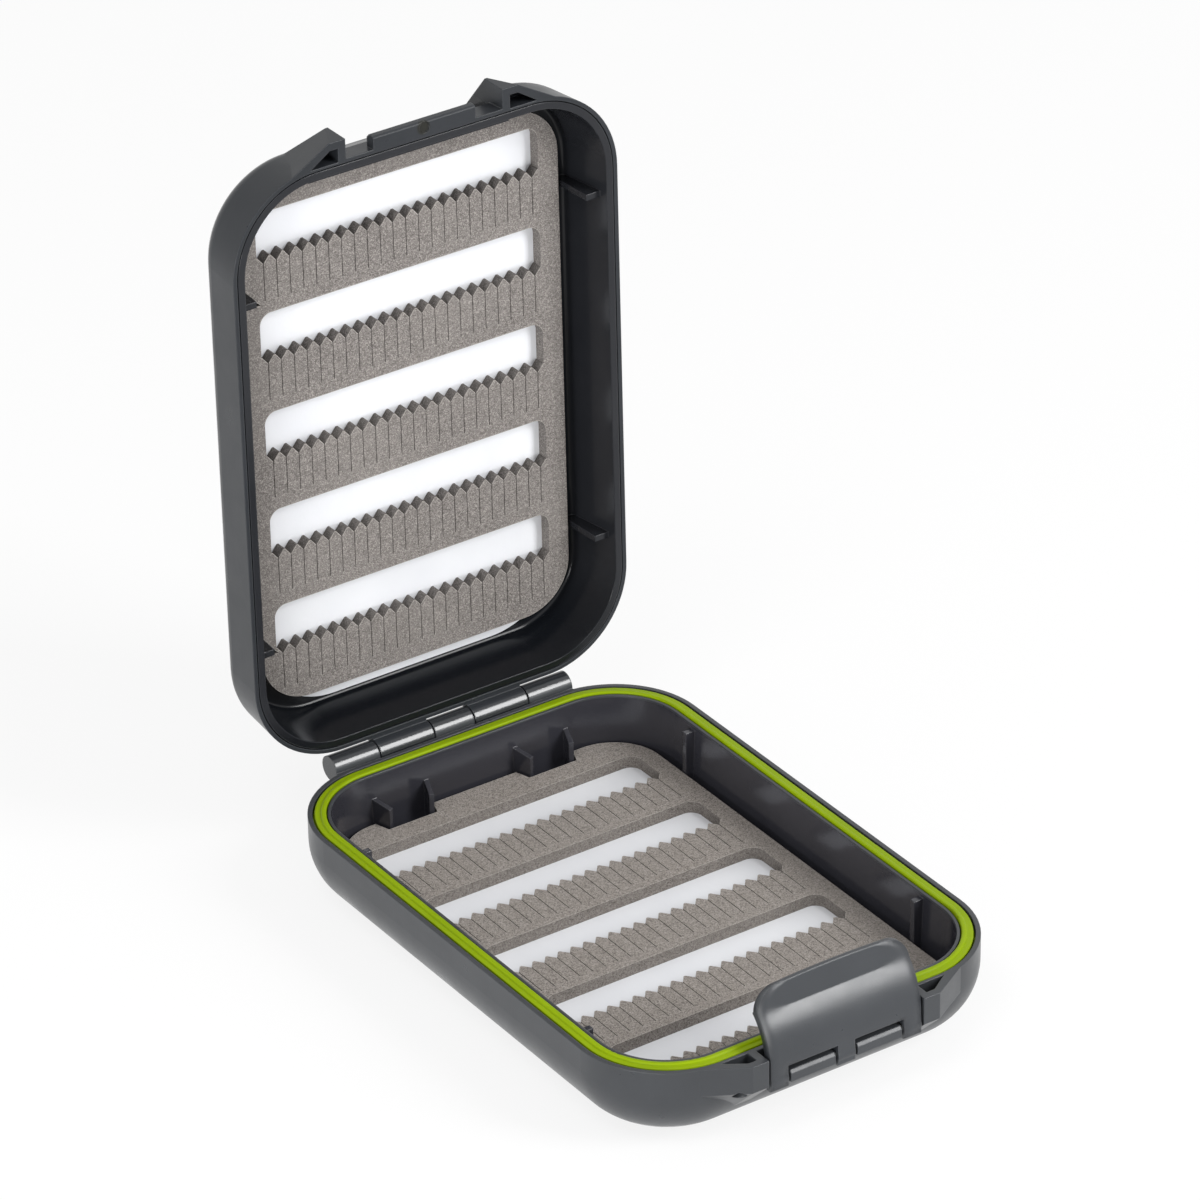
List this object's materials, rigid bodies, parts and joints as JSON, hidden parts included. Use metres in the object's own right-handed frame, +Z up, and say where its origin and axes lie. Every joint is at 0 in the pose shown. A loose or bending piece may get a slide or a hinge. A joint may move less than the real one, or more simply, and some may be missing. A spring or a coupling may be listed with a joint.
{
  "type": "fly box",
  "caption": "Hinged pocket case with a rim seal, a front snap latch and toothed slit-foam inserts in base and lid, for carrying fishing flies.",
  "frame": {"origin": "middle of the base's flat underside, on the ground", "axes": "+Z up, +X to the right seen from the latch, +Y from the latch towards the hinge"},
  "size_m": [0.1, 0.1716, 0.1734],
  "materials": {
    "shell": "fine matt moulded grain, dark slate grey",
    "seal": "smooth lime elastomer",
    "foam": "warm grey speckled closed-cell foam",
    "sheet": "plain white sheet",
    "pin": "drawn wire"
  },
  "bodies": {
    "base": {"base_shell": "shell", "seal_ring": "seal", "base_sheet": "sheet", "base_foam": "foam", "hinge_pin": "pin", "latch_pin": "pin"},
    "lid": {"lid_shell": "shell", "lid_sheet": "sheet", "lid_foam": "foam"},
    "latch": {"latch": "shell"}
  },
  "joints": [
    {"name": "lid_hinge", "type": "hinge", "parent": "base", "child": "lid", "pos_m": [0, 0.07605, 0.02004], "axis": [-1, 0, 0], "range_deg": [-90.8, 89.2]},
    {"name": "latch_pivot", "type": "hinge", "parent": "base", "child": "latch", "pos_m": [0, -0.0752, 0.014], "axis": [1, 0, 0], "range_deg": [0, 95]}
  ]
}
